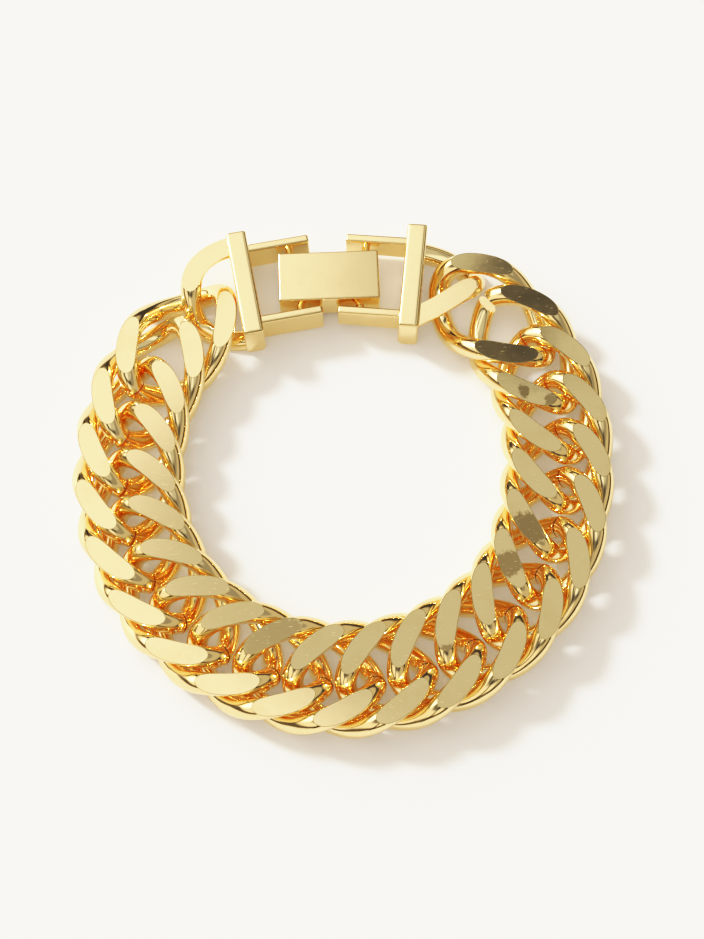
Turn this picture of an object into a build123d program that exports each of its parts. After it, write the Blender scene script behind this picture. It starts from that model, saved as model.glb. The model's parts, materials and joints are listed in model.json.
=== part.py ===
"""Double curb chain bracelet, fastened and lying flat in a closed ring.

Twenty-one filed wire links, a soldered frame with a loop at each end of the
chain, and a hinged block that bridges the two frames.
Millimetres and degrees. The origin lies under the middle of the ring on the
surface that the bracelet rests on, with +Z up and the clasp towards +Y.
"""
import os
from math import copysign, cos, pi, radians, sin, tan

from build123d import *

# Chain: the wire and how it is filed
wire_diameter = 3.18
wire_gap = 0.12
crown_filed = 1.45
saw_cut = 0.15
open_saw_cut = 1.5
open_link = 20

# Shape of a link, counted in crossings of two wires
side_share = 2.1
pitch_share = 2.265
end_share = 0.68
link_twist = 49
twist_growth = 0.8
roundness = 1.9
link_corners = 16
reach_step = 0.05
bend_share = 0.48

# Route of the chain: where the first link lies, the turn from each link to
# the next, and how far single links stand off the round
first_link_angle = 139.8
link_turns = [13.8, 13.6, 13.6, 13.4, 13.2, 13.1, 13.1, 12.9, 12.8, 12.8,
              12.8, 12.8, 12.8, 12.9, 13.2, 13.5, 13.6, 13.6, 13.6, 13.8]
link_standoffs = {2: -0.1, 3: -0.4, 4: -0.5, 5: -0.4, 6: -0.2,
                  15: -0.2, 16: -0.7, 17: -1.0, 18: -0.7, 19: -0.1, 20: 0.4, 21: 0.6}

# Where the ring's middle lies from the origin
ring_middle_x = 0.18
ring_middle_y = 1.42

# Clasp frames: a bar with two rails, a cross pin and a soldered loop
bar_width = 3.1
bar_length = 17.6
bar_above_chain = 0.8
bar_edge = 0.4
left_bar_turn = 23.3
right_bar_turn = 23.8
left_bar_standoff = -0.3
right_bar_standoff = -1.2
frame_lean = 8.2
rail_width = 1.35
rail_drop = 1.2
left_rail_height = 5.2
right_rail_height = 4.4
rail_edge = 0.2
rail_end_gap = 2.3
left_loop_slack = 1.6
right_loop_slack = 1.7
loop_end_margin = 0.3

# Clasp block and its pins
block_width = 8.2
block_side_gap = 1.45
block_end_gap = 3.6
block_above_rails = 0.4
block_height = 4.6
block_wall = 0.8
block_edge = 0.35
block_standout = 0.8
block_turn = -0.5
pin_radius = 0.6
pin_below_rail_top = 2.4
catch_pin_inset = 2.5
hinge_pin_inset = 2.5
hinge_clearance = 0.06
catch_clearance = 0.45

# Sizes that follow from those above
wire_radius = wire_diameter / 2
crossing = wire_diameter + wire_gap
link_side = side_share * crossing
mean_turn = sum(link_turns) / len(link_turns)
ring_radius = pitch_share * crossing / radians(mean_turn)


def oval_point(turn, reach):
    """Point on the wire's centre line, with x along the chain and y inwards."""
    along = copysign(abs(cos(turn)) ** (2 / roundness), cos(turn))
    out = copysign(abs(sin(turn)) ** (2 / roundness), sin(turn))
    lean = -radians(link_twist) * copysign(abs(along) ** twist_growth, along)
    return Vector(reach * along, link_side * out * cos(lean), link_side * out * sin(lean))


crown = max(oval_point(pi * step / 90, link_side).Z for step in range(180))
chain_height = 2 * (crown + wire_radius - crown_filed)
bar_height = chain_height + bar_above_chain
rail_top = bar_height - rail_drop
block_top = rail_top + block_above_rails
pin_height = rail_top - pin_below_rail_top
rail_spacing = block_width + 2 * block_side_gap + rail_width


def ring_place(angle, standoff=0.0):
    """Plan position on the ring, as a vector in the resting plane."""
    radius = ring_radius + standoff
    return Vector(ring_middle_x + radius * cos(radians(angle)),
                  ring_middle_y + radius * sin(radians(angle)), 0)


def direction(angle):
    """Level unit vector at an angle from +X."""
    return Vector(cos(radians(angle)), sin(radians(angle)), 0)


# Where each link and each bar lies
link_angles = [first_link_angle]
for link_turn in link_turns:
    link_angles.append(link_angles[-1] + link_turn)
link_count = len(link_angles)
link_places = [
    ring_place(link_angle, link_standoffs.get(number, 0.0))
    for number, link_angle in enumerate(link_angles, 1)
]
left_bar_place = ring_place(link_angles[0] - left_bar_turn, left_bar_standoff)
right_bar_place = ring_place(link_angles[-1] + right_bar_turn, right_bar_standoff)
clasp_span = right_bar_place - left_bar_place
clasp_angle = Vector(1, 0, 0).get_signed_angle(clasp_span, Vector(0, 0, 1))
clasp_middle = (left_bar_place + right_bar_place) / 2


def link_heading(index):
    """Angle of a link's length: along the line between the two links that it joins."""
    if index in (0, link_count - 1):
        return link_angles[index] + 90
    span = link_places[index + 1] - link_places[index - 1]
    return Vector(1, 0, 0).get_signed_angle(span, Vector(0, 0, 1))


def link_reach(index):
    """Half length of a link's centre line, set by the links it is closed round."""
    steps = [
        (place - link_places[index]).length
        for place in (link_places[max(index - 1, 0)], link_places[min(index + 1, link_count - 1)])
        if place is not link_places[index]
    ]
    reach = sum(steps) / len(steps) + end_share * crossing
    return round(reach / reach_step) * reach_step


def arc_radii(points):
    """Radius at each inner corner of a path, as large as its two runs allow."""
    radii = []
    for before, corner, after in zip(points, points[1:], points[2:]):
        shorter = min((corner - before).length, (after - corner).length)
        turn = (corner - before).get_angle(after - corner)
        radii.append(bend_share * shorter / tan(radians(turn) / 2))
    return radii


def link_points(reach, cut):
    """Corners of one link's path, from one side of its saw cut to the other."""
    grow = 1 / cos(pi / link_corners)
    corners = [
        oval_point((step + 0.5) * 2 * pi / link_corners, reach) * grow
        for step in range(link_corners)
    ]
    run = (corners[0] - corners[-1]).normalized()
    seam = (corners[0] + corners[-1]) / 2
    return [seam + run * (cut / 2)] + corners + [seam - run * (cut / 2)]


def bend_wire(points):
    """Round wire along a path, filed flat above and below its middle height."""
    with BuildPart() as wire:
        with BuildLine() as wire_path:
            FilletPolyline(*points, radius=arc_radii(points))
        with BuildSketch(Plane(origin=wire_path.line @ 0, z_dir=wire_path.line % 0)):
            Circle(wire_radius)
        sweep(path=wire_path.wire())
        split(bisect_by=Plane.XY.offset(chain_height / 2), keep=Keep.BOTTOM)
        split(bisect_by=Plane.XY.offset(-chain_height / 2), keep=Keep.TOP)
    return wire


def make_link(index, name, cut):
    """One link: wire bent to a twisted oval and set in its place in the chain.

    Each link's saw cut faces the next link, but the last one's faces back.
    """
    cut_turn = 180 if index == link_count - 1 else 0
    place = Plane(
        origin=link_places[index] + Vector(0, 0, chain_height / 2),
        x_dir=direction(link_heading(index) + cut_turn),
        z_dir=(0, 0, 1),
    )
    bent = bend_wire(link_points(link_reach(index), cut))
    with BuildPart() as link:
        with Locations(place):
            add(bent.part)
    link.part.label = name
    return link


# Paths of the two loops, from the high end to the low one: shares of the reach,
# of the half width along the bar, and of the crown
left_loop_path = [
    {"out": 0.05, "side": -1.00, "rise": 0.80},
    {"out": 0.28, "side": -0.97, "rise": 0.95},
    {"out": 0.54, "side": -0.85, "rise": 1.00},
    {"out": 0.80, "side": -0.61, "rise": 0.98},
    {"out": 0.97, "side": -0.16, "rise": 0.80},
    {"out": 0.97, "side": 0.36, "rise": -0.80},
    {"out": 0.80, "side": 0.61, "rise": -0.98},
    {"out": 0.54, "side": 0.85, "rise": -1.00},
    {"out": 0.28, "side": 0.97, "rise": -0.95},
    {"out": 0.05, "side": 1.00, "rise": -0.80},
]
right_loop_path = [
    {"out": 0.05, "side": -1.00, "rise": 0.80},
    {"out": 0.30, "side": -0.82, "rise": 0.95},
    {"out": 0.55, "side": -0.56, "rise": 1.00},
    {"out": 0.80, "side": -0.27, "rise": 1.00},
    {"out": 0.98, "side": -0.04, "rise": 0.60},
    {"out": 1.02, "side": 0.22, "rise": -0.20},
    {"out": 0.93, "side": 0.50, "rise": -0.80},
    {"out": 0.70, "side": 0.78, "rise": -0.95},
    {"out": 0.40, "side": 0.98, "rise": -0.95},
    {"out": 0.05, "side": 1.02, "rise": -0.80},
]


def make_loop(bar_place, out_angle, link_tip, slack, loop_path):
    """Wire loop that holds the end link, set in its place at the bar.

    Its path has x outwards from the bar and y along it.
    """
    middle = Plane(
        origin=bar_place + Vector(0, 0, chain_height / 2),
        x_dir=direction(out_angle),
        z_dir=(0, 0, 1),
    )
    reach = (link_tip - bar_place).dot(middle.x_dir) + crossing + slack
    half_width = bar_length / 2 - wire_radius - loop_end_margin
    bent = bend_wire([
        Vector(row["out"] * reach, row["side"] * half_width, row["rise"] * crown)
        for row in loop_path
    ])
    with BuildPart() as loop:
        with Locations(middle):
            add(bent.part)
    return loop


def make_rails(base, rail_end, rail_height):
    """The two rails of a frame, from inside its bar to their free ends."""
    rail_start = bar_width / 2 - bar_edge
    with BuildPart() as rails:
        with BuildSketch(base.offset(rail_top - rail_height)):
            with Locations((-(rail_start + rail_end) / 2, rail_spacing / 2),
                           (-(rail_start + rail_end) / 2, -rail_spacing / 2)):
                Rectangle(rail_end - rail_start, rail_width)
        extrude(amount=rail_height)
        fillet(rails.edges(), rail_edge)
    return rails


def make_frame(name, bar_place, out_angle, loop, rail_height, pin_distance):
    """Bar, rails, cross pin and loop of one end, soldered into one piece.

    The frame's own x runs outwards, away from the block, and y along the bar.
    """
    base = Plane(origin=bar_place, x_dir=direction(out_angle), z_dir=(0, 0, 1))
    lean = radians(frame_lean)
    half_span = (clasp_middle - bar_place).length
    rail_end = half_span / cos(lean) - rail_spacing / 2 * tan(lean) - rail_end_gap / 2
    rails = make_rails(base, rail_end, rail_height)
    with BuildPart() as frame:
        with BuildSketch(base):
            Rectangle(bar_width, bar_length)
        extrude(amount=bar_height)
        fillet(frame.edges(), bar_edge)
        add(rails.part)
        with BuildSketch(pin_plane(base, pin_distance)):
            Circle(pin_radius)
        extrude(amount=rail_spacing / 2, both=True)
        add(loop.part)
    frame.part.label = name
    return frame


def pin_plane(base, pin_distance):
    """Plane across a cross pin at its middle, with z along the pin."""
    return Plane(
        origin=base.from_local_coords((-pin_distance, 0, pin_height)),
        x_dir=base.x_dir,
        z_dir=base.y_dir,
    )


def make_block(hinge_plane, catch_plane):
    """Block: a thin-walled box open below, bored for the hinge pin.

    Its walls have slots that drop over the catch pin.
    """
    outwards = direction(clasp_angle + 90)
    floor = block_top - block_height
    base = Plane(
        origin=clasp_middle + outwards * block_standout + Vector(0, 0, floor),
        x_dir=direction(clasp_angle + block_turn),
        z_dir=(0, 0, 1),
    )
    slot_radius = pin_radius + catch_clearance
    with BuildPart() as block:
        with BuildSketch(base):
            Rectangle(block_length, block_width)
        extrude(amount=block_height)
        fillet(block.edges().filter_by(Axis.Z), block_edge)
        fillet(block.faces().sort_by(Axis.Z)[-1].edges(), block_edge)
        with BuildSketch(base):
            Rectangle(block_length - 2 * block_wall, block_width - 2 * block_wall)
        extrude(amount=block_height - block_wall, mode=Mode.SUBTRACT)
        with BuildSketch(hinge_plane):
            Circle(pin_radius + hinge_clearance)
        extrude(amount=block_width, both=True, mode=Mode.SUBTRACT)
        with BuildSketch(catch_plane):
            Circle(slot_radius)
            with Locations((0, (pin_height - floor) / 2)):
                Rectangle(2 * slot_radius, pin_height - floor)
        extrude(amount=block_width, both=True, mode=Mode.SUBTRACT)
    block.part.label = "clasp_block"
    return block


# Clasp places that the frames and the block share
left_out_angle = clasp_angle + 180 + frame_lean
right_out_angle = clasp_angle - frame_lean
left_base = Plane(origin=left_bar_place, x_dir=direction(left_out_angle), z_dir=(0, 0, 1))
right_base = Plane(origin=right_bar_place, x_dir=direction(right_out_angle), z_dir=(0, 0, 1))
block_length = clasp_span.length - bar_width - 2 * block_end_gap
catch_pin_distance = (bar_width / 2 + block_end_gap + catch_pin_inset) / cos(radians(frame_lean))
hinge_pin_distance = (bar_width / 2 + block_end_gap + hinge_pin_inset) / cos(radians(frame_lean))
first_tip = link_places[0] - direction(link_heading(0)) * link_reach(0)
last_tip = link_places[-1] + direction(link_heading(link_count - 1)) * link_reach(link_count - 1)

pieces = []
for number in range(1, link_count + 1):
    cut = open_saw_cut if number == open_link else saw_cut
    pieces.append(make_link(number - 1, f"link_{number:02d}", cut))
left_loop = make_loop(left_bar_place, left_out_angle, first_tip, left_loop_slack,
                      left_loop_path)
right_loop = make_loop(right_bar_place, right_out_angle, last_tip, right_loop_slack,
                       right_loop_path)
pieces.append(make_frame("clasp_left_frame", left_bar_place, left_out_angle, left_loop,
                         left_rail_height, catch_pin_distance))
pieces.append(make_frame("clasp_right_frame", right_bar_place, right_out_angle, right_loop,
                         right_rail_height, hinge_pin_distance))
pieces.append(make_block(pin_plane(right_base, hinge_pin_distance),
                         pin_plane(left_base, catch_pin_distance)))

os.makedirs("parts", exist_ok=True)
for piece in pieces:
    export_step(piece.part, f"parts/{piece.part.label}.step")

hinge = pin_plane(right_base, hinge_pin_distance)
print("ring radius", round(ring_radius, 3), "chain height", round(chain_height, 3))
print("hinge pin", [round(value, 4) for value in hinge.origin], "along",
      [round(value, 5) for value in hinge.z_dir])
print("volume", round(sum(piece.part.volume for piece in pieces), 1))
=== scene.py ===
"""Double curb chain bracelet of pale gold metal, fastened and lying flat in a closed ring.

The links are wire bent to a twisted oval and filed flat, and the clasp is a
block hinged between two barred frames. Metres, +Z up, clasp towards +Y.
"""

import json
import math

import bmesh
import bpy
from bpy.props import FloatProperty, FloatVectorProperty, PointerProperty
from bpy.types import Operator, Panel, PropertyGroup
from mathutils import Matrix, Vector


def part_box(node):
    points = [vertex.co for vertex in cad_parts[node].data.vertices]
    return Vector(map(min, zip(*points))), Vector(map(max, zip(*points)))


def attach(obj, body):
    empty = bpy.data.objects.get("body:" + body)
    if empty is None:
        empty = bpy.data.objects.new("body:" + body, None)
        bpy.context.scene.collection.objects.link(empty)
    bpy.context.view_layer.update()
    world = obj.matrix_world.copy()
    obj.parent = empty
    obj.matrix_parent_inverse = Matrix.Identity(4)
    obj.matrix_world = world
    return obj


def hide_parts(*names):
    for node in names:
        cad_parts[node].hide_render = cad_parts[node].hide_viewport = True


bl_info = {
    "name": "Curb Chain Bracelet",
    "version": (1, 0, 0),
    "blender": (4, 5, 0),
    "location": "3D View > Sidebar > Bracelet",
    "description": "A double curb chain bracelet with a hinged block clasp",
    "category": "Object",
}

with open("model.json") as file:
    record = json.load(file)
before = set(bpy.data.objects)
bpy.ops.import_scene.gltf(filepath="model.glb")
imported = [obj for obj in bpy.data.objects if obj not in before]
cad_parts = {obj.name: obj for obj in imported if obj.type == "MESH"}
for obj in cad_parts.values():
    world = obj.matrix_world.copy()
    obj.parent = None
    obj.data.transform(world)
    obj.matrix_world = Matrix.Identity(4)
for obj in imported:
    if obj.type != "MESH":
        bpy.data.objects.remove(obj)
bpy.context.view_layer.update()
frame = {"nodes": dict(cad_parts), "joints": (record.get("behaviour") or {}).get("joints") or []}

LINK_NAMES = sorted(name for name in frame["nodes"] if name.startswith("link_"))
HINGE = frame["joints"][0]

# Distances shorter than this, in metres, count as none
NEAR = 1e-6

# Faces larger than this, in square metres, are flats or cut ends
FLAT_AREA = 4e-6

# How much of a face's normal points one way: on a face that looks that way, and on a flat
FACING = 0.9
LEVEL = 0.98

# The smallest angle of an edge still to be rounded, and of one shaded sharp on wire and on plates
CORNER = math.radians(40)
WIRE_CREASE = math.radians(32)
PLATE_CREASE = math.radians(50)

# Material slots of a wire's flats and of the painted dark rims round them, and of the painted dark
# lines on the clasp's rounded edges
FLAT_SLOT = 1
PAINTED_RIM_SLOT = 2
PAINTED_EDGE_SLOT = 1

# A link's oval: 2 is an ellipse, and less is more pointed. How its twist grows to the ends
ROUNDNESS = 1.9
TWIST_GROWTH = 0.8

# Corners that a link's wire is pulled towards, and how far they stand outside its oval
LINK_CORNERS = 16
CORNER_STANDOFF = 1.0055

# How far a link reaches past its neighbour's middle, as a share of the crossing
REACH_PAST = 0.68

# Where the flats' middles lie, as shares of a link's side and of a loop's reach
LINK_FLAT = 0.9
LOOP_FLAT = 0.55

# How the upper flats lean away from the chain's middle line, in degrees
PLAIN_LEAN = 1.0
FILING = {
    "link_01": {"outer": 0.4, "inner": 0.2},
    "link_02": {"inner": 0.2},
    "link_19": {"outer": 1.9},
    "link_20": {"outer": 0.3, "inner": 0.2},
    "link_21": {"outer": 0.0, "inner": -1.0},
}

# The link that gapes, and the one whose saw cut faces the other way
OPEN_LINK = "link_20"
LAST_LINK = "link_21"

# Tarnished patches on the flats: middles and half sizes, turns in degrees, and strengths
TARNISH = (
    {"x": 0.0229, "y": -0.0159, "long": 0.0025, "wide": 0.0019, "turn": 20.0, "depth": 0.85},
    {"x": 0.0262, "y": -0.0109, "long": 0.0029, "wide": 0.0028, "turn": 0.0, "depth": 0.95},
    {"x": 0.0271, "y": 0.0106, "long": 0.0008, "wide": 0.0012, "turn": 10.0, "depth": 0.9},
    {"x": 0.0313, "y": 0.0092, "long": 0.0014, "wide": 0.0010, "turn": 30.0, "depth": 0.7},
    {"x": 0.0135, "y": -0.0287, "long": 0.0015, "wide": 0.0015, "turn": 0.0, "depth": 0.8},
    {"x": -0.0107, "y": -0.0255, "long": 0.0054, "wide": 0.0028, "turn": 30.0, "depth": 0.6},
)

# The loops' paths beside their bars, from the high end to the low one, as shares of
# the loop's reach out, of its half width along the bar, and of the crown's height
LOOPS = {
    "clasp_left_frame": (
        (0.05, -1.00, 0.80), (0.28, -0.97, 0.95), (0.54, -0.85, 1.00), (0.80, -0.61, 0.98),
        (0.97, -0.16, 0.80), (0.97, 0.36, -0.80), (0.80, 0.61, -0.98), (0.54, 0.85, -1.00),
        (0.28, 0.97, -0.95), (0.05, 1.00, -0.80),
    ),
    "clasp_right_frame": (
        (0.05, -1.00, 0.80), (0.30, -0.82, 0.95), (0.55, -0.56, 1.00), (0.80, -0.27, 1.00),
        (0.98, -0.04, 0.60), (1.02, 0.22, -0.20), (0.93, 0.50, -0.80), (0.70, 0.78, -0.95),
        (0.40, 0.98, -0.95), (0.05, 1.02, -0.80),
    ),
}

# Share of the bars' polish lean that the rails' tops have
RAIL_POLISH = 0.7

# Upper edges of a bar lie within this of its top, also where the top leans
TOP_DROP = 0.0003

# Rounded faces of the clasp whose normals rise between these get a painted dark line, standing in for
# the dark reflection along their edges
PAINTED_EDGE_RISE = (0.80, 0.95)

# Play round the hinge pin and the catch pin, and how much shorter the block is than its solid's box
HINGE_PLAY = 0.00006
CATCH_PLAY = 0.00045
BLOCK_SPARE = 0.00003

# The surface lies this far down, so that no flat shares its plane
SURFACE_DROP = 0.00002

# Headings, as unit vectors, of the window and of the dark card that the metal mirrors
WINDOW = (-0.686, 0.470, 0.557)
CARD = (0.137, 0.446, 0.885)

# Where the sun stands, as a direction from the bracelet
SUN = (-0.8, 0.55, 0.65)

# The camera: its place, tilt and turn, its sensor's width in millimetres, and its focal
# length and the picture's width in pixels
CAMERA_PLACE = (0.00126, -0.07456, 0.2033)
CAMERA_TILT = math.radians(20.5)
CAMERA_TURN = math.radians(-2.0)
SENSOR = 36.0
FOCAL_PIXELS = 1450.0
PICTURE_PIXELS = 704.0

# The picture's tones: the brightness that shows as white, and points of the curve below it
WHITE = 2.5
TONES = (
    (0.04, 0.05), (0.08, 0.14), (0.176, 0.43), (0.248, 0.62), (0.32, 0.79), (0.38, 0.89),
    (0.44, 0.94), (0.54, 0.955), (0.75, 0.975),
)


class ChainSettings(PropertyGroup):
    """Sizes of the wire and of the links bent from it."""

    wire: FloatProperty(
        name="Wire Diameter", description="Thickness of the round wire of the chain",
        default=0.00318, unit="LENGTH", subtype="DISTANCE")
    crossing: FloatProperty(
        name="Crossing", description="Distance between two wires that cross",
        default=0.0033, unit="LENGTH", subtype="DISTANCE")
    side: FloatProperty(
        name="Link Side", description="Distance from a link's middle to its wire at the side",
        default=0.00693, unit="LENGTH", subtype="DISTANCE")
    height: FloatProperty(
        name="Chain Height", description="Thickness of the chain after filing",
        default=0.0061, unit="LENGTH", subtype="DISTANCE")
    twist: FloatProperty(
        name="Twist", description="Angle that each end of a link is turned by",
        default=math.radians(49), unit="ROTATION", subtype="ANGLE")
    # The rim is a painted dark line round each filed flat, standing in for the dark reflection along
    # its edge
    painted_rim: FloatProperty(
        name="Rim", description="Width of the painted dark line round each filed flat",
        default=0.00008, unit="LENGTH", subtype="DISTANCE")
    seam: FloatProperty(
        name="Seam", description="Width of the closed saw cut in each link",
        default=0.00018, unit="LENGTH", subtype="DISTANCE")
    open_seam: FloatProperty(
        name="Open Seam", description="Width of the saw cut in the one link that gapes",
        default=0.0015, unit="LENGTH", subtype="DISTANCE")


class ClaspSettings(PropertyGroup):
    """Sizes of the clasp's frames and block, and how the frames stand to each other."""

    bar_width: FloatProperty(
        name="Bar Width", description="Width of a clasp bar",
        default=0.0031, unit="LENGTH", subtype="DISTANCE")
    bar_length: FloatProperty(
        name="Bar Length", description="Length of a clasp bar across the chain",
        default=0.0176, unit="LENGTH", subtype="DISTANCE")
    bar_height: FloatProperty(
        name="Bar Height", description="Height of a clasp bar above the surface",
        default=0.0069, unit="LENGTH", subtype="DISTANCE")
    edge: FloatProperty(
        name="Edge", description="Rounding of the bars' edges",
        default=0.00042, unit="LENGTH", subtype="DISTANCE")
    foot: FloatProperty(
        name="Foot", description="Rounding of the bars' long lower edges",
        default=0.0009, unit="LENGTH", subtype="DISTANCE")
    bar_crown: FloatProperty(
        name="Bar Crown", description="Rounding of the bars' long upper edges",
        default=0.0011, unit="LENGTH", subtype="DISTANCE")
    lean: FloatProperty(
        name="Lean", description="Angle that each frame is turned towards the ring's middle by",
        default=math.radians(8.2), unit="ROTATION", subtype="ANGLE")
    rail_width: FloatProperty(
        name="Rail Width", description="Width of each rail",
        default=0.00135, unit="LENGTH", subtype="DISTANCE")
    rail_edge: FloatProperty(
        name="Rail Edge", description="Rounding of the rails' edges",
        default=0.00034, unit="LENGTH", subtype="DISTANCE")
    side_gap: FloatProperty(
        name="Side Gap", description="Space between the block and each rail",
        default=0.00145, unit="LENGTH", subtype="DISTANCE")
    polish: FloatProperty(
        name="Polish Lean", description="Angle that the right frame's tops are polished away by",
        default=math.radians(3.0), unit="ROTATION", subtype="ANGLE")
    rail_top: FloatProperty(
        name="Rail Top", description="Height of the rails' tops above the surface",
        default=0.0057, unit="LENGTH", subtype="DISTANCE")
    left_rail: FloatProperty(
        name="Left Rail Height", description="Height of the left frame's rails",
        default=0.0052, unit="LENGTH", subtype="DISTANCE")
    right_rail: FloatProperty(
        name="Right Rail Height", description="Height of the right frame's rails",
        default=0.0044, unit="LENGTH", subtype="DISTANCE")
    rail_gap: FloatProperty(
        name="Rail Gap", description="Space between the ends of facing rails",
        default=0.0023, unit="LENGTH", subtype="DISTANCE")
    pin: FloatProperty(
        name="Pin Radius", description="Radius of the cross pins",
        default=0.0006, unit="LENGTH", subtype="DISTANCE")
    pin_distance: FloatProperty(
        name="Pin Distance", description="Distance from a bar's middle to its cross pin",
        default=0.007729, unit="LENGTH", subtype="DISTANCE")
    crown: FloatProperty(
        name="Loop Crown", description="Highest rise of a loop's wire from the chain's middle",
        default=0.00291, unit="LENGTH", subtype="DISTANCE")
    half_width: FloatProperty(
        name="Loop Half Width", description="Half the distance between a loop's two ends",
        default=0.00691, unit="LENGTH", subtype="DISTANCE")
    left_reach: FloatProperty(
        name="Left Loop Reach", description="Distance from the left bar to its loop's tip",
        default=0.00883, unit="LENGTH", subtype="DISTANCE")
    right_reach: FloatProperty(
        name="Right Loop Reach", description="Distance from the right bar to its loop's tip",
        default=0.00963, unit="LENGTH", subtype="DISTANCE")
    block_width: FloatProperty(
        name="Block Width", description="Width of the block across the chain",
        default=0.0082, unit="LENGTH", subtype="DISTANCE")
    block_height: FloatProperty(
        name="Block Height", description="Height of the block",
        default=0.0046, unit="LENGTH", subtype="DISTANCE")
    block_wall: FloatProperty(
        name="Block Wall", description="Thickness of the block's walls",
        default=0.0008, unit="LENGTH", subtype="DISTANCE")
    block_edge: FloatProperty(
        name="Block Edge", description="Rounding of the block's edges",
        default=0.0003, unit="LENGTH", subtype="DISTANCE")
    standout: FloatProperty(
        name="Standout", description="Distance that the block stands out from the bars' middles",
        default=0.0008, unit="LENGTH", subtype="DISTANCE")
    block_turn: FloatProperty(
        name="Block Turn", description="Angle between the block and the line of the bars",
        default=math.radians(-0.5), unit="ROTATION", subtype="ANGLE")


class FinishSettings(PropertyGroup):
    """Colours of the plating and of the surface below."""

    gold: FloatVectorProperty(
        name="Gold", description="Colour of the polished plating",
        default=(0.98, 0.80, 0.46), size=3, min=0.0, max=1.0, subtype="COLOR")
    worn: FloatVectorProperty(
        name="Worn Gold", description="Colour where the plating is rubbed",
        default=(0.84, 0.67, 0.33), size=3, min=0.0, max=1.0, subtype="COLOR")
    # Painted shade: a darker gold for the painted dark lines round the flats and on the clasp's
    # rounded edges, standing in for dark reflections
    edge: FloatVectorProperty(
        name="Edge", description="Colour of the painted dark lines round the flats and on the clasp's edges",
        default=(0.50, 0.39, 0.19), size=3, min=0.0, max=1.0, subtype="COLOR")
    tarnish: FloatVectorProperty(
        name="Tarnish", description="Colour of the tarnished patches on the flats",
        default=(0.44, 0.34, 0.18), size=3, min=0.0, max=1.0, subtype="COLOR")
    floor: FloatVectorProperty(
        name="Surface", description="Colour of the surface that the bracelet lies on",
        default=(0.75, 0.75, 0.745), size=3, min=0.0, max=1.0, subtype="COLOR")


def deselect():
    """Leave nothing selected."""
    if bpy.context.object and bpy.context.object.mode != "OBJECT":
        bpy.ops.object.mode_set(mode="OBJECT")
    bpy.ops.object.select_all(action="DESELECT")


def take(piece):
    """Select a piece alone and make it the active one."""
    deselect()
    piece.select_set(True)
    bpy.context.view_layer.objects.active = piece


def signed_power(value, power):
    """A power of a value's size, with the value's sign."""
    return math.copysign(abs(value) ** power, value)


def oval_point(turn, reach):
    """Point on a link's centre line, with x along the chain and y towards the ring's middle."""
    side = bpy.context.scene.bracelet_chain.side
    twist = bpy.context.scene.bracelet_chain.twist
    along = signed_power(math.cos(turn), 2 / ROUNDNESS)
    out = signed_power(math.sin(turn), 2 / ROUNDNESS)
    lean = -twist * signed_power(along, TWIST_GROWTH)
    return Vector((reach * along, side * out * math.cos(lean), side * out * math.sin(lean)))


def wire_along(name, corners, diameter):
    """Round wire along a smooth line that is pulled towards each corner."""
    deselect()
    bpy.ops.curve.primitive_nurbs_path_add(radius=0.001)
    wire = bpy.context.object
    wire.name = name
    spline = wire.data.splines[0]
    spline.points.add(len(corners) - len(spline.points))
    for point, corner in zip(spline.points, corners):
        point.co = (*corner, 1.0)
    spline.order_u = 4
    spline.use_endpoint_u = True
    spline.resolution_u = 12
    wire.data.bevel_depth = diameter / 2
    wire.data.bevel_resolution = 14
    wire.data.use_fill_caps = True
    bpy.ops.object.convert(target="MESH")
    wire = bpy.context.object
    bpy.ops.object.mode_set(mode="EDIT")
    bpy.ops.mesh.select_all(action="SELECT")
    bpy.ops.mesh.remove_doubles(threshold=NEAR)
    bpy.ops.mesh.normals_make_consistent(inside=False)
    bpy.ops.object.mode_set(mode="OBJECT")
    return wire


def link_wire(reach, cut):
    """The bent wire of one link before it is filed, open by the width of its saw cut."""
    grow = CORNER_STANDOFF / math.cos(math.pi / LINK_CORNERS)
    corners = [oval_point((step + 0.5) * 2 * math.pi / LINK_CORNERS, reach) * grow
               for step in range(LINK_CORNERS)]
    run = (corners[0] - corners[-1]).normalized()
    seam = (corners[0] + corners[-1]) / 2
    return wire_along("Wire", [seam + run * cut / 2] + corners + [seam - run * cut / 2],
                      bpy.context.scene.bracelet_chain.wire)


def pick_faces(piece, test):
    """In edit mode, select only the faces whose middle and normal pass a test."""
    mesh = bmesh.from_edit_mesh(piece.data)
    mesh.select_mode = {"FACE"}
    for face in mesh.faces:
        face.select = test(face.calc_center_median(), face.normal)
    mesh.select_flush(True)
    mesh.select_flush(False)
    bmesh.update_edit_mesh(piece.data)


def pick_edges(piece, test):
    """In edit mode, select only the edges that pass a test."""
    mesh = bmesh.from_edit_mesh(piece.data)
    mesh.select_mode = {"EDGE"}
    for edge in mesh.edges:
        edge.select = test(edge)
    mesh.select_flush(False)
    bmesh.update_edit_mesh(piece.data)


def file_flat(piece, top, side, away=0.0, onward=0.0, middle=0.0):
    """File one flat: cut all beyond a plane away, on one side of the chain or, with side 0, on both.

    Top is 1 for an upper flat and -1 for a lower one. The plane leans away from the chain's
    middle line and onward along it, in degrees, about the flat's middle.
    """
    chain = bpy.context.scene.bracelet_chain
    normal = Vector((math.tan(math.radians(onward)), side * math.tan(math.radians(away)), 1.0))
    centre = Vector((middle, side * chain.side * LINK_FLAT, top * chain.height / 2))
    pick_faces(piece, lambda place, out: place.y * side >= 0 and place.z * top > 0)
    bpy.ops.mesh.bisect(plane_co=centre, plane_no=normal.normalized() * top,
                        use_fill=True, clear_outer=True, threshold=NEAR)


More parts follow.
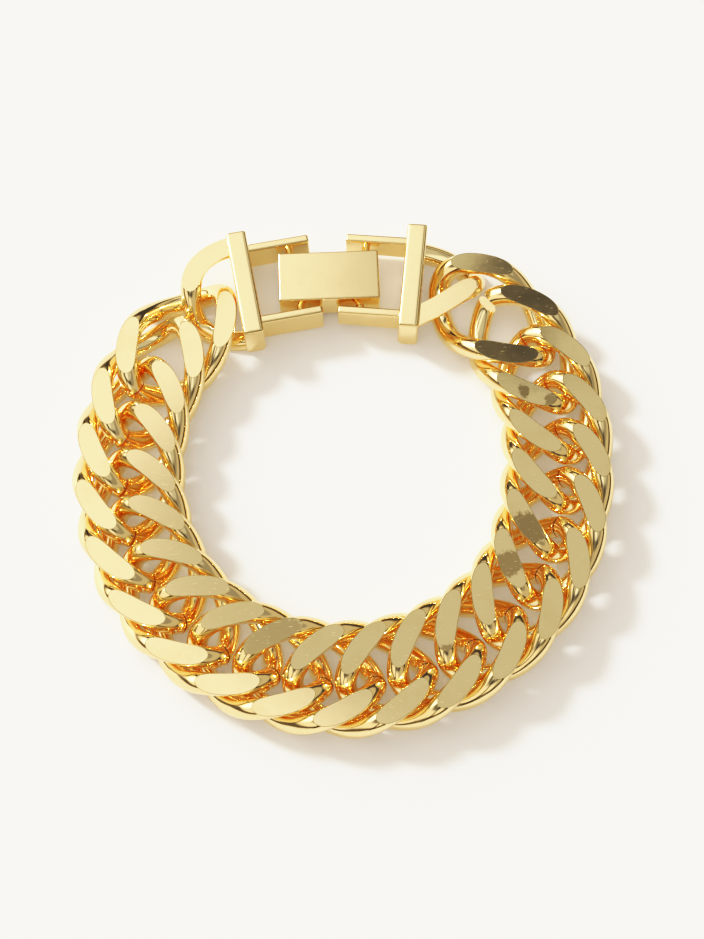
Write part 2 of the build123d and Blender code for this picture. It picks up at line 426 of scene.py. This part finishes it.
def paint_dark_rims(piece, width):
    """Paint a dark line round the flats and the cut ends: a narrow ring in the rims' material,
    standing in for the dark reflection along their edges.
    """
    mesh = bmesh.from_edit_mesh(piece.data)
    mesh.select_mode = {"FACE"}
    for face in mesh.faces:
        face.select = face.calc_area() > FLAT_AREA
    mesh.select_flush(True)
    bmesh.update_edit_mesh(piece.data)
    bpy.ops.mesh.inset(thickness=width, use_individual=True)
    mesh = bmesh.from_edit_mesh(piece.data)
    # The ring next to each flat gets the rims' material: a painted dark line
    for face in mesh.faces:
        beside = any(other.select for edge in face.edges for other in edge.link_faces)
        if beside and not face.select:
            face.material_index = PAINTED_RIM_SLOT
    bmesh.update_edit_mesh(piece.data)


def smooth_but_for_flats(piece):
    """Shade a wire smooth, but keep its flats and rims even and give the flats their material."""
    bpy.ops.object.shade_smooth_by_angle(angle=WIRE_CREASE)
    mesh = bmesh.new()
    mesh.from_mesh(piece.data)
    for face in mesh.faces:
        if abs(face.normal.z) > LEVEL and face.calc_area() > FLAT_AREA:
            face.material_index = FLAT_SLOT
        if face.material_index:
            for edge in face.edges:
                edge.smooth = False
    mesh.to_mesh(piece.data)
    mesh.free()


def settle(piece, place, name, node, body, materials):
    """Set a finished piece in its place and say what it stands for."""
    take(piece)
    bpy.ops.object.transform_apply(location=True, rotation=True, scale=True)
    piece.data.transform(place)
    piece.name = name
    piece.data.name = name
    for material in materials:
        piece.data.materials.append(material)
    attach(piece, body)
    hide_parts(node)


class Wiring:
    """Adds nodes to one shader tree and joins them. Inputs are constants or other nodes' outputs."""

    def __init__(self, tree):
        self.tree = tree

    def fill(self, node, inputs):
        """Give some of a node's inputs their constants or links."""
        for name, value in inputs.items():
            if isinstance(value, bpy.types.NodeSocket):
                self.tree.links.new(value, node.inputs[name])
            else:
                node.inputs[name].default_value = value

    def add(self, kind, inputs=None, **settings):
        """Add a node of a kind with its settings and inputs."""
        node = self.tree.nodes.new("ShaderNode" + kind)
        for key, value in settings.items():
            setattr(node, key, value)
        self.fill(node, inputs or {})
        return node

    def noise(self, place, scale, detail, roughness=0.5):
        """Noise at a place."""
        inputs = {"Vector": place, "Scale": scale, "Detail": detail, "Roughness": roughness}
        return self.add("TexNoise", inputs).outputs["Fac"]

    def ramp(self, value, span, result, kind="LINEAR"):
        """Value that goes from one end of a result to the other as another goes through a span."""
        inputs = {"Value": value, "From Min": span[0], "From Max": span[1],
                  "To Min": result[0], "To Max": result[1]}
        return self.add("MapRange", inputs, interpolation_type=kind).outputs["Result"]

    def fade(self, value, span, result):
        """The same as a ramp, but beginning and ending softly."""
        return self.ramp(value, span, result, "SMOOTHSTEP")

    def dip(self, value, start, end, low):
        """Strength 1 but for a dip to a low one, which starts and ends softly over two spans."""
        falling = self.fade(value, start, (1.0, low))
        rising = self.fade(value, end, (low, 1.0))
        return self.step("MAXIMUM", falling, rising)

    def step(self, operation, *values, clamp=False):
        """Result of one step of arithmetic."""
        inputs = dict(enumerate(values))
        return self.add("Math", inputs, operation=operation, use_clamp=clamp).outputs["Value"]

    def blend(self, share, first, second):
        """Colour that goes from the first to the second as the share goes from 0 to 1."""
        inputs = {"Factor": share, "A": first, "B": second}
        return self.add("Mix", inputs, data_type="RGBA").outputs["Result"]

    def bump(self, height, strength, distance, under=None):
        """Normal bent by a height, on top of another bump's if there is one."""
        inputs = {"Height": height, "Strength": strength, "Distance": distance}
        if under:
            inputs["Normal"] = under
        return self.add("Bump", inputs).outputs["Normal"]


def opaque(colour):
    """A colour with full strength as its fourth value."""
    return (*colour, 1.0)


def tarnish_mask(wiring, place):
    """How tarnished each point is: streaky patches, strongest in their middles."""
    grain = wiring.noise(place, scale=1500.0, detail=5.0, roughness=0.7)
    ragged = wiring.ramp(grain, (0.3, 0.7), (0.30, -0.30))
    total = 0.0
    for row in TARNISH:
        spot = wiring.add("Mapping", {
            "Vector": place,
            "Location": (row["x"], row["y"], 0.0),
            "Rotation": (0.0, 0.0, math.radians(row["turn"])),
            "Scale": (row["long"], row["wide"], 1.0),
        }, vector_type="TEXTURE")
        reach = wiring.add("VectorMath", {0: spot.outputs["Vector"]}, operation="LENGTH")
        uneven = wiring.step("ADD", reach.outputs["Value"], ragged)
        patch = wiring.fade(uneven, (1.1, 0.75), (0.0, row["depth"]))
        total = wiring.step("MAXIMUM", total, patch)
    return total


def gold_material(name, colour, rough, waves, scratch, rub, tarnished=False):
    """Polished gold plating: slight waves, fine scratches, rubbed patches and tarnished ones."""
    material = bpy.data.materials.get(name)
    if material:
        return material
    finish = bpy.context.scene.bracelet_finish
    material = bpy.data.materials.new(name)
    material.use_nodes = True
    wiring = Wiring(material.node_tree)
    place = wiring.add("TexCoord").outputs["Object"]

    patches = wiring.noise(place, scale=160.0, detail=4.0, roughness=0.6)
    rubbed = wiring.ramp(patches, (0.50, 0.80), (0.0, rub))
    colour = wiring.blend(rubbed, opaque(colour), opaque(finish.worn))
    roughness = wiring.ramp(patches, (0.35, 0.75), (rough, 1.8 * rough))

    stretch = wiring.add("Mapping", {
        "Vector": place,
        "Rotation": (0.0, 0.0, 0.6),
        "Scale": (900.0, 9000.0, 2000.0),
    })
    lines = wiring.noise(stretch.outputs["Vector"], scale=1.0, detail=3.0)
    if tarnished:
        # The deepest scratches show bright metal through the tarnish
        scored = wiring.ramp(lines, (0.66, 0.74), (0.0, 0.9))
        dull = wiring.step("SUBTRACT", tarnish_mask(wiring, place), scored, clamp=True)
        colour = wiring.blend(dull, colour, opaque(finish.tarnish))

        # Tarnish is a little duller than the plating, and a scratch much duller
        roughness = wiring.step("MULTIPLY_ADD", dull, 0.12, roughness)
        roughness = wiring.step("MULTIPLY_ADD", scored, 0.35, roughness)

    ripples = wiring.bump(wiring.noise(place, scale=420.0, detail=1.0), waves, 0.0002)
    wiring.fill(material.node_tree.nodes["Principled BSDF"], {
        "Base Color": colour,
        "Metallic": 1.0,
        "Roughness": roughness,
        "Normal": wiring.bump(lines, scratch, 0.00002, ripples),
    })
    return material


def drawn_gold():
    """Material of the wire's round sides."""
    gold = bpy.context.scene.bracelet_finish.gold
    return gold_material("Drawn Gold", gold, rough=0.07, waves=0.10, scratch=0.05, rub=0.3)


def filed_gold():
    """Material of the filed flats."""
    gold = bpy.context.scene.bracelet_finish.gold
    return gold_material("Filed Gold", gold, rough=0.07, waves=0.012, scratch=0.04, rub=0.5,
                         tarnished=True)


def painted_rim_gold():
    """Material of the painted dark lines round the flats and on the clasp's rounded edges: a darker
    gold that stands in for the dark reflections along them.
    """
    edge = bpy.context.scene.bracelet_finish.edge
    return gold_material("Painted Rim Gold", edge, rough=0.22, waves=0.05, scratch=0.05, rub=1.0)


def cast_gold():
    """Material of the clasp."""
    gold = bpy.context.scene.bracelet_finish.gold
    return gold_material("Cast Gold", gold, rough=0.08, waves=0.02, scratch=0.04, rub=0.3)


def wire_finish():
    """Materials of the wire pieces, in the order of their slots."""
    return drawn_gold(), filed_gold(), painted_rim_gold()


def clasp_finish():
    """Materials of the clasp's plates, in the order of their slots: cast gold, and the painted dark
    edge lines.
    """
    return cast_gold(), painted_rim_gold()


def middle_of(name):
    """Middle of a solid's box."""
    return sum(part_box(name), Vector()) / 2


def stand(place, turn):
    """Matrix that turns a piece about the vertical and sets it at a place."""
    return Matrix.Translation(place) @ Matrix.Rotation(turn, 4, "Z")


def ring_middle(places):
    """Middle of the round that passes closest to all the places, by least squares."""
    rows = [(2 * place.x, 2 * place.y, 1.0, place.x ** 2 + place.y ** 2) for place in places]
    normal = Matrix([[sum(row[i] * row[j] for row in rows) for j in range(3)] for i in range(3)])
    right = Vector([sum(row[i] * row[3] for row in rows) for i in range(3)])
    fit = normal.inverted() @ right
    return Vector((fit.x, fit.y, 0.0))


def link_layout():
    """Name, place and half length of every link, from the solid links."""
    chain = bpy.context.scene.bracelet_chain
    places = [middle_of(name) for name in LINK_NAMES]
    middle = ring_middle(places)
    rows = []
    for number, (name, place) in enumerate(zip(LINK_NAMES, places)):
        steps = [(places[other] - place).length for other in (number - 1, number + 1)
                 if 0 <= other < len(places)]
        # Outwards is square to the line between both neighbours, or away from the ring's middle
        out = (place - middle).xy
        if len(steps) == 2:
            out = -(places[number + 1] - places[number - 1]).xy.orthogonal()
        turn = math.atan2(out.y, out.x) + math.pi / 2
        rows.append((name, stand((place.x, place.y, chain.height / 2), turn),
                     sum(steps) / len(steps) + REACH_PAST * chain.crossing))
    return rows


class BRACELET_OT_chain(Operator):
    """Bend, file and set all the links of the chain"""

    bl_idname = "bracelet.chain"
    bl_label = "Chain Links"

    def execute(self, context):
        chain = context.scene.bracelet_chain
        layout = link_layout()
        mean_reach = sum(reach for _, _, reach in layout) / len(layout)
        closed = link_wire(mean_reach, chain.seam)
        gaping = link_wire(mean_reach, chain.open_seam)
        for name, place, reach in layout:
            source = gaping if name == OPEN_LINK else closed
            link = source.copy()
            link.data = source.data.copy()
            context.collection.objects.link(link)
            link.data.transform(Matrix.Diagonal((reach / mean_reach, 1.0, 1.0, 1.0)))
            if name == LAST_LINK:
                link.data.transform(Matrix.Rotation(math.pi, 4, "Z"))
            take(link)
            bpy.ops.object.mode_set(mode="EDIT")
            leans = FILING.get(name, {})
            for side, where in ((-1, "outer"), (1, "inner")):
                file_flat(link, 1, side, leans.get(where, PLAIN_LEAN))
                file_flat(link, -1, side)
            paint_dark_rims(link, chain.painted_rim)
            bpy.ops.object.mode_set(mode="OBJECT")
            smooth_but_for_flats(link)
            settle(link, place, "chain_" + name, name, "bracelet", wire_finish())
        for wire in (closed, gaping):
            bpy.data.objects.remove(wire)
        return {"FINISHED"}


def clasp_layout():
    """Places of the two frames and the block.

    A frame's x points away from the block, and its y along its bar.
    """
    clasp = bpy.context.scene.bracelet_clasp
    along = Vector(HINGE["axis"]).normalized()
    out = Vector((along.y, -along.x, 0.0))
    right = Vector((*HINGE["pos_m"][:2], 0.0)) + out * clasp.pin_distance
    span = math.atan2(out.y, out.x) + clasp.lean
    block = middle_of("clasp_block")
    block.z = 0.0
    middle = block - Matrix.Rotation(span, 3, "Z") @ Vector((0.0, clasp.standout, 0.0))
    return {
        "clasp_left_frame": stand(2 * middle - right, span + math.pi + clasp.lean),
        "clasp_right_frame": stand(right, span - clasp.lean),
        "clasp_block": stand(block, span + clasp.block_turn),
    }


def is_corner(edge):
    """Whether an edge is a corner still to be rounded."""
    return edge.calc_face_angle(0.0) > CORNER


def squared(name, size, middle, roundings, lean=0.0):
    """Rectangular piece of a size round a middle, its top leaning down towards its low x side.

    Each rounding is a test that picks edges, a width, a number of steps and a profile.
    """
    deselect()
    bpy.ops.mesh.primitive_cube_add(size=1.0, scale=size, location=middle)
    piece = bpy.context.object
    piece.name = name
    bpy.ops.object.transform_apply(location=True, rotation=True, scale=True)
    bpy.ops.object.mode_set(mode="EDIT")
    if lean:
        high_side = (middle[0] + size[0] / 2, middle[1], middle[2] + size[2] / 2)
        pick_faces(piece, lambda place, out: out.z > FACING)
        bpy.ops.transform.rotate(value=lean, orient_axis="Y", orient_type="GLOBAL",
                                 center_override=high_side)
    for test, width, steps, profile in roundings:
        pick_edges(piece, test)
        bpy.ops.mesh.bevel(offset=width, segments=steps, profile=profile, affect="EDGES")
    # Faces of the upper roundings get the dark rim material: a painted dark reflection line
    mesh = bmesh.from_edit_mesh(piece.data)
    for face in mesh.faces:
        if PAINTED_EDGE_RISE[0] < face.normal.z < PAINTED_EDGE_RISE[1]:
            face.material_index = PAINTED_EDGE_SLOT
    bmesh.update_edit_mesh(piece.data)
    bpy.ops.object.mode_set(mode="OBJECT")
    bpy.ops.object.shade_smooth_by_angle(angle=PLATE_CREASE)
    bpy.ops.object.modifier_add(type="WEIGHTED_NORMAL")
    piece.modifiers[-1].keep_sharp = True
    bpy.ops.object.modifier_apply(modifier=piece.modifiers[-1].name)
    return piece


def bar(name, lean):
    """A clasp bar: crowned, with rounded edges and a rounder foot, its top leaning by an angle."""
    clasp = bpy.context.scene.bracelet_clasp
    height = clasp.bar_height

    def lengthways(edge):
        return abs(edge.verts[0].co.y - edge.verts[1].co.y) > clasp.foot

    def at_foot(edge):
        return lengthways(edge) and max(vert.co.z for vert in edge.verts) < NEAR

    def at_top(edge):
        return lengthways(edge) and min(vert.co.z for vert in edge.verts) > height - TOP_DROP

    roundings = (
        (at_foot, clasp.foot, 6, 0.5),
        (at_top, clasp.bar_crown, 12, 0.8),
        (is_corner, clasp.edge, 4, 0.5),
    )
    size = (clasp.bar_width, clasp.bar_length, height)
    return squared(name, size, (0.0, 0.0, height / 2), roundings, lean)


def rail_distance():
    """Distance from a frame's middle line to the middle of each rail."""
    clasp = bpy.context.scene.bracelet_clasp
    return (clasp.block_width + clasp.rail_width) / 2 + clasp.side_gap


def rail(name, side, height, length, lean):
    """A rail: an upright strip from the bar to its free end, its top leaning down that way."""
    clasp = bpy.context.scene.bracelet_clasp
    width = clasp.rail_width
    start = clasp.bar_width / 2 - clasp.edge
    size = (length - start, width, height)
    middle = (-(start + length) / 2, side * rail_distance(), clasp.rail_top - height / 2)

    def at_free_end(edge):
        far = max(vert.co.x for vert in edge.verts) < -length + NEAR
        return far and abs(edge.verts[0].co.z - edge.verts[1].co.z) > width

    roundings = ((at_free_end, clasp.rail_edge, 4, 0.5), (is_corner, clasp.rail_edge, 5, 0.5))
    return squared(name, size, middle, roundings, lean)


def pin_rod(name, radius, length):
    """Rod across a frame, where its cross pin is."""
    deselect()
    bpy.ops.mesh.primitive_cylinder_add(
        vertices=32, radius=radius, depth=length, rotation=(math.pi / 2, 0.0, 0.0),
        location=(-bpy.context.scene.bracelet_clasp.pin_distance, 0.0, HINGE["pos_m"][2]))
    rod = bpy.context.object
    rod.name = name
    return rod


def cross_pin(name):
    """The pin between a frame's two rails, sunk a little into each."""
    clasp = bpy.context.scene.bracelet_clasp
    length = clasp.block_width + 2 * clasp.side_gap + clasp.rail_width / 2
    pin = pin_rod(name, clasp.pin, length)
    bpy.ops.object.shade_smooth_by_angle(angle=PLATE_CREASE)
    return pin


def loop_of(node, reach, lean):
    """The wire loop at a bar's outer side, filed flat above and below, its top leaning by an angle."""
    chain = bpy.context.scene.bracelet_chain
    clasp = bpy.context.scene.bracelet_clasp
    corners = [Vector((out * reach, side * clasp.half_width, rise * clasp.crown))
               for out, side, rise in LOOPS[node]]
    loop = wire_along("Loop", corners, chain.wire)
    take(loop)
    bpy.ops.object.mode_set(mode="EDIT")
    file_flat(loop, 1, 0, onward=-math.degrees(lean), middle=LOOP_FLAT * reach)
    file_flat(loop, -1, 0)
    bpy.ops.object.mode_set(mode="OBJECT")
    smooth_but_for_flats(loop)
    loop.data.transform(Matrix.Translation((0.0, 0.0, chain.height / 2)))
    return loop


class BRACELET_OT_frames(Operator):
    """Make the two clasp frames: bar, rails, cross pin and loop"""

    bl_idname = "bracelet.frames"
    bl_label = "Clasp Frames"

    def execute(self, context):
        clasp = context.scene.bracelet_clasp
        places = clasp_layout()
        left_bar, right_bar = (places[node].translation
                               for node in ("clasp_left_frame", "clasp_right_frame"))
        bar_span = (left_bar - right_bar).length
        length = (bar_span / 2 / math.cos(clasp.lean) - rail_distance() * math.tan(clasp.lean)
                  - clasp.rail_gap / 2)
        for side, height, reach, lean in (
            ("left", clasp.left_rail, clasp.left_reach, 0.0),
            ("right", clasp.right_rail, clasp.right_reach, clasp.polish),
        ):
            node = f"clasp_{side}_frame"
            for piece, name, materials in (
                (bar(side, lean), "bar", clasp_finish()),
                (rail(side, 1, height, length, RAIL_POLISH * lean), "rail_a", clasp_finish()),
                (rail(side, -1, height, length, RAIL_POLISH * lean), "rail_b", clasp_finish()),
                (cross_pin(side), "pin", clasp_finish()),
                (loop_of(node, reach, lean), "loop", wire_finish()),
            ):
                settle(piece, places[node], f"{side}_{name}", node, "bracelet",
                       materials)
        return {"FINISHED"}


def cut_with(piece, cutter):
    """Cut another piece's shape out of a piece, and take the cutter away."""
    take(piece)
    bpy.ops.object.modifier_add(type="BOOLEAN")
    cut = piece.modifiers[-1]
    cut.operation = "DIFFERENCE"
    cut.solver = "EXACT"
    cut.object = cutter
    bpy.ops.object.modifier_apply(modifier=cut.name)
    bpy.data.objects.remove(cutter)


class BRACELET_OT_block(Operator):
    """Make the block: a thin-walled box open below, bored for its pin and slotted for the catch pin"""

    bl_idname = "bracelet.block"
    bl_label = "Clasp Block"

    def execute(self, context):
        clasp = context.scene.bracelet_clasp
        places = clasp_layout()
        low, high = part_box("clasp_block")
        size = (high.x - low.x - BLOCK_SPARE, clasp.block_width, clasp.block_height)
        floor = high.z - clasp.block_height

        def above_floor(edge):
            return max(vert.co.z for vert in edge.verts) > floor + NEAR

        block = squared("Block", size, (0.0, 0.0, floor + clasp.block_height / 2),
                        ((above_floor, clasp.block_edge, 4, 0.5),))
        take(block)
        bpy.ops.object.mode_set(mode="EDIT")
        pick_faces(block, lambda place, out: out.z < -FACING and place.z < floor + NEAR)
        bpy.ops.mesh.inset(thickness=clasp.block_wall)
        bpy.ops.mesh.extrude_region_move(
            TRANSFORM_OT_translate={"value": (0.0, 0.0, clasp.block_height - clasp.block_wall)})
        bpy.ops.object.mode_set(mode="OBJECT")
        for node, play in (("clasp_right_frame", HINGE_PLAY), ("clasp_left_frame", CATCH_PLAY)):
            cutter = pin_rod("Cutter", clasp.pin + play, 2 * clasp.block_width)
            if node == "clasp_left_frame":
                # Half the rod is drawn out, so that it cuts a slot that is open below
                bpy.ops.object.mode_set(mode="EDIT")
                pick_faces(cutter, lambda place, out: out.y > NEAR and abs(out.z) < FACING)
                bpy.ops.mesh.extrude_region_move(
                    TRANSFORM_OT_translate={"value": (0.0, 0.0, -clasp.block_height)})
                bpy.ops.object.mode_set(mode="OBJECT")
            bpy.ops.object.transform_apply(location=True, rotation=True, scale=True)
            cutter.data.transform(places["clasp_block"].inverted() @ places[node])
            cut_with(block, cutter)
        take(block)
        bpy.ops.object.shade_smooth_by_angle(angle=PLATE_CREASE)
        settle(block, places["clasp_block"], "block", "clasp_block", "block",
               clasp_finish())
        return {"FINISHED"}


def surface_material():
    """Material of the pale surface: faintly mottled, with a painted warm glow that stands in for light
    bounced off the gold.
    """
    pale = bpy.context.scene.bracelet_finish.floor
    material = bpy.data.materials.new("Pale Surface")
    material.use_nodes = True
    wiring = Wiring(material.node_tree)
    grain = wiring.noise(wiring.add("TexCoord").outputs["Object"], scale=9.0, detail=5.0)
    darker = [0.97 * value for value in pale]
    wiring.fill(material.node_tree.nodes["Principled BSDF"], {
        "Base Color": wiring.blend(grain, opaque(pale), opaque(darker)),
        "Roughness": 0.6,
        "Specular IOR Level": 0.2,
        # Painted light: a warm glow standing in for the light that the gold bounces onto the surface,
        # in its shadows and under the links too
        "Emission Color": (1.0, 0.86, 0.68, 1.0),
        "Emission Strength": 0.24,
    })
    return material


def studio_world():
    """World that the metal mirrors: screens with dark gaps, and a window."""
    world = bpy.data.worlds.new("Studio")
    world.use_nodes = True
    wiring = Wiring(world.node_tree)
    heading = wiring.add("TexCoord").outputs["Generated"]
    x, y, z = wiring.add("SeparateXYZ", {"Vector": heading}).outputs

    def toward(direction):
        """How closely each heading points in a direction: 1 where it does."""
        match = wiring.add("VectorMath", {0: heading, 1: direction}, operation="DOT_PRODUCT")
        return match.outputs["Value"]

    # A bright screen on the left with a bowed edge, and a grey one on the right
    bow_height = wiring.step("POWER", wiring.step("SUBTRACT", y, 0.32), 2.0)
    bow = wiring.step("MULTIPLY", bow_height, wiring.fade(y, (0.31, 0.33), (4.0, 14.0)))
    edge = wiring.step("MINIMUM", wiring.step("SUBTRACT", bow, 0.14), 0.0)
    screens = wiring.fade(wiring.step("SUBTRACT", edge, x), (-0.06, 0.05), (0.62, 1.12))

    # What darkens the screens: a gap overhead that lightens to the right, a dark card,
    # a post on the left and a skirting low down
    gap = wiring.dip(z, (0.50, 0.61), (0.66, 0.75), 0.20)
    gap_right = wiring.fade(x, (0.16, 0.34), (0.0, 0.60))
    for shade in (
        wiring.step("MAXIMUM", gap, gap_right),
        wiring.fade(toward(CARD), (0.99886, 0.99902), (1.0, 0.21)),
        wiring.dip(x, (-0.50, -0.46), (-0.40, -0.36), 0.15),
        wiring.dip(z, (0.00, 0.06), (0.20, 0.30), 0.15),
    ):
        screens = wiring.step("MULTIPLY", screens, shade)

    # The window's light is added, and all light is warmer low down
    window = wiring.fade(toward(WINDOW), (0.85, 0.93), (0.0, 1.2))
    height = wiring.fade(z, (0.45, 0.65), (0.0, 1.0))
    sky = world.node_tree.nodes["Background"]
    wiring.fill(sky, {
        "Color": wiring.blend(height, (1.0, 0.89, 0.75, 1.0), (1.0, 0.985, 0.955, 1.0)),
        "Strength": wiring.step("ADD", screens, window),
    })

    # The camera itself sees a plain pale backdrop
    backdrop = wiring.add("Background", {"Color": (1.0, 0.99, 0.975, 1.0)})
    seen = wiring.add("MixShader", {
        "Fac": wiring.add("LightPath").outputs["Is Camera Ray"],
        1: sky.outputs["Background"],
        2: backdrop.outputs["Background"],
    })
    wiring.fill(world.node_tree.nodes["World Output"], {"Surface": seen.outputs["Shader"]})
    return world


def add_sun(collection):
    """The sun, soft-edged and a little cold."""
    light = bpy.data.lights.new("Sun", "SUN")
    light.energy = 2.2
    light.angle = math.radians(9.0)
    light.color = (0.87, 0.96, 1.0)
    sun = bpy.data.objects.new("Sun", light)
    sun.location = SUN
    sun.rotation_euler = (-Vector(SUN)).to_track_quat("-Z", "Y").to_euler()
    collection.objects.link(sun)


def add_camera(collection):
    """The camera that sees the bracelet from the photo's place."""
    view = bpy.data.cameras.new("Camera")
    view.sensor_fit = "HORIZONTAL"
    view.sensor_width = SENSOR
    view.lens = SENSOR * FOCAL_PIXELS / PICTURE_PIXELS
    view.clip_start = 0.01
    camera = bpy.data.objects.new("Camera", view)
    camera.matrix_world = (
        Matrix.Translation(CAMERA_PLACE)
        @ Matrix.Rotation(CAMERA_TILT, 4, "X")
        @ Matrix.Rotation(CAMERA_TURN, 4, "Z")
    )
    collection.objects.link(camera)
    return camera


def set_tones(view_settings):
    """Give the picture its bright, even tones."""
    view_settings.view_transform = "Standard"
    view_settings.use_curve_mapping = True
    tones = view_settings.curve_mapping
    tones.white_level = (WHITE, WHITE, WHITE)
    curve = tones.curves[3]
    for x, y in TONES:
        curve.points.new(x, y)
    for point in curve.points:
        point.handle_type = "AUTO_CLAMPED"
    tones.update()


def set_bounces(cycles):
    """Let light bounce on often enough among the links."""
    cycles.max_bounces = 24
    cycles.glossy_bounces = 16
    cycles.diffuse_bounces = 6
    cycles.sample_clamp_indirect = 0.0


class BRACELET_OT_stage(Operator):
    """Lay the surface and set the lights and the camera"""

    bl_idname = "bracelet.stage"
    bl_label = "Stage"

    def execute(self, context):
        deselect()
        bpy.ops.mesh.primitive_plane_add(size=3.0, location=(0.0, 0.0, -SURFACE_DROP))
        surface = context.object
        surface.name = "Surface"
        surface.data.materials.append(surface_material())
        scene = context.scene
        scene.world = studio_world()
        add_sun(context.collection)
        scene.camera = add_camera(context.collection)
        set_tones(scene.view_settings)
        set_bounces(scene.cycles)
        return {"FINISHED"}


STEPS = (BRACELET_OT_chain, BRACELET_OT_frames, BRACELET_OT_block, BRACELET_OT_stage)


class BRACELET_PT_make(Panel):
    """Lists the steps that make the bracelet."""

    bl_label = "Curb Chain Bracelet"
    bl_idname = "BRACELET_PT_make"
    bl_space_type = "VIEW_3D"
    bl_region_type = "UI"
    bl_category = "Bracelet"

    def draw(self, context):
        scene = context.scene
        for settings in (scene.bracelet_chain, scene.bracelet_clasp, scene.bracelet_finish):
            box = self.layout.box()
            for key in settings.__annotations__:
                box.prop(settings, key)
        for step in STEPS:
            self.layout.operator(step.bl_idname)


CLASSES = (ChainSettings, ClaspSettings, FinishSettings, *STEPS, BRACELET_PT_make)


def register():
    """Add the settings, the steps and the panel."""
    for item in CLASSES:
        bpy.utils.register_class(item)
    bpy.types.Scene.bracelet_chain = PointerProperty(type=ChainSettings)
    bpy.types.Scene.bracelet_clasp = PointerProperty(type=ClaspSettings)
    bpy.types.Scene.bracelet_finish = PointerProperty(type=FinishSettings)


def unregister():
    """Take them away again."""
    del bpy.types.Scene.bracelet_finish
    del bpy.types.Scene.bracelet_clasp
    del bpy.types.Scene.bracelet_chain
    for item in reversed(CLASSES):
        bpy.utils.unregister_class(item)


def main():
    """Make every piece in order."""
    register()
    bpy.ops.bracelet.chain()
    bpy.ops.bracelet.frames()
    bpy.ops.bracelet.block()
    bpy.ops.bracelet.stage()


if __name__ == "__main__":
    main()
